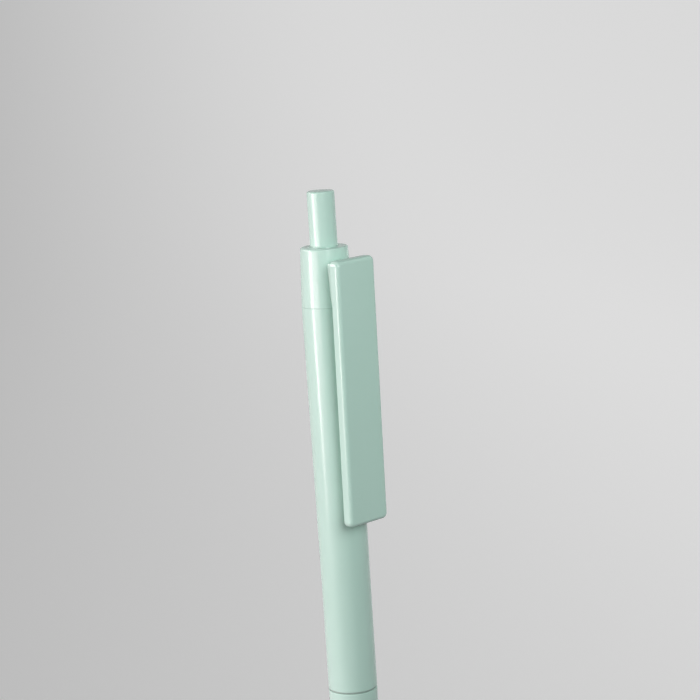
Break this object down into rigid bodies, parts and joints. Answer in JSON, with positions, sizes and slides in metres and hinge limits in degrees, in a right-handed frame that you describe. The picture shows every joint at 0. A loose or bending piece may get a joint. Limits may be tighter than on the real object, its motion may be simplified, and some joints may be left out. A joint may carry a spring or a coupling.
{
  "type": "highlighter",
  "caption": "Slim click-action highlighter with a round push button, a collar, a wide flat pocket clip, a screw-on nose cone and a chisel felt nib.",
  "frame": {"origin": "on the pen's axis, at the middle of the barrel's straight grip, 43.2 mm above the nose end", "axes": "+Z along the pen towards the push button, -Y towards the clip, +X across the clip's width"},
  "size_m": [0.011, 0.0148, 0.14],
  "materials": {
    "mint_plastic": "smooth moulded gloss",
    "white_acetal": "natural moulded",
    "cartridge_plastic": "translucent moulded",
    "clear_film": "thin clear film",
    "spring_steel": "drawn wire",
    "seal_rubber": "soft matte",
    "ink_fibre": "ink-soaked fibre",
    "nib_felt": "bonded felt"
  },
  "bodies": {
    "barrel": {"barrel": "mint_plastic", "collar": "mint_plastic", "cam_sleeve": "white_acetal"},
    "seal_ring": {"seal_ring": "seal_rubber"},
    "nose_cone": {"nose_cone": "mint_plastic", "return_spring": "spring_steel"},
    "plunger": {"plunger": "mint_plastic", "thrust_cam": "white_acetal"},
    "rotor": {"rotor_cam": "white_acetal"},
    "cartridge": {"cartridge_tube": "cartridge_plastic", "tail_plug": "white_acetal", "ink_reservoir": "ink_fibre", "reservoir_film": "clear_film", "nib_holder": "cartridge_plastic", "nib": "nib_felt"},
    "clip": {"clip_plate": "mint_plastic", "clip_bridge": "mint_plastic"}
  },
  "joints": [
    {"name": "press", "type": "slide", "parent": "barrel", "child": "plunger", "axis": [0, 0, 1], "range_m": [-0.0056, 0], "stiffness_N_per_m": 300, "springref_m": 0.008, "deforming": ["return_spring"]},
    {"name": "rotor_slide", "type": "slide", "parent": "barrel", "child": "rotor", "axis": [0, 0, 1], "range_m": [-0.0056, 0]},
    {"name": "cartridge_slide", "type": "slide", "parent": "barrel", "child": "cartridge", "axis": [0, 0, 1], "range_m": [-0.0056, 0]},
    {"name": "nose_travel", "type": "slide", "parent": "barrel", "child": "seal_ring", "axis": [0, 0, -1], "range_m": [0, 0.006]},
    {"name": "nose_turn", "type": "hinge", "parent": "seal_ring", "child": "nose_cone", "pos_m": [0, 0, -0.0112], "axis": [0, 0, -1], "range_deg": [0, 1440]},
    {"name": "clip_flex", "type": "hinge", "parent": "barrel", "child": "clip", "pos_m": [0, -0.0046, 0.0816], "axis": [-1, 0, 0], "range_deg": [0, 4], "stiffness_Nm_per_rad": 7, "springref_deg": -1.15}
  ],
  "couplings": [
    {"joint": "rotor_slide", "follows": "press", "ratio": 1},
    {"joint": "cartridge_slide", "follows": "press", "ratio": 1},
    {"joint": "nose_turn", "follows": "nose_travel", "rad_per_m": 4188.8}
  ]
}
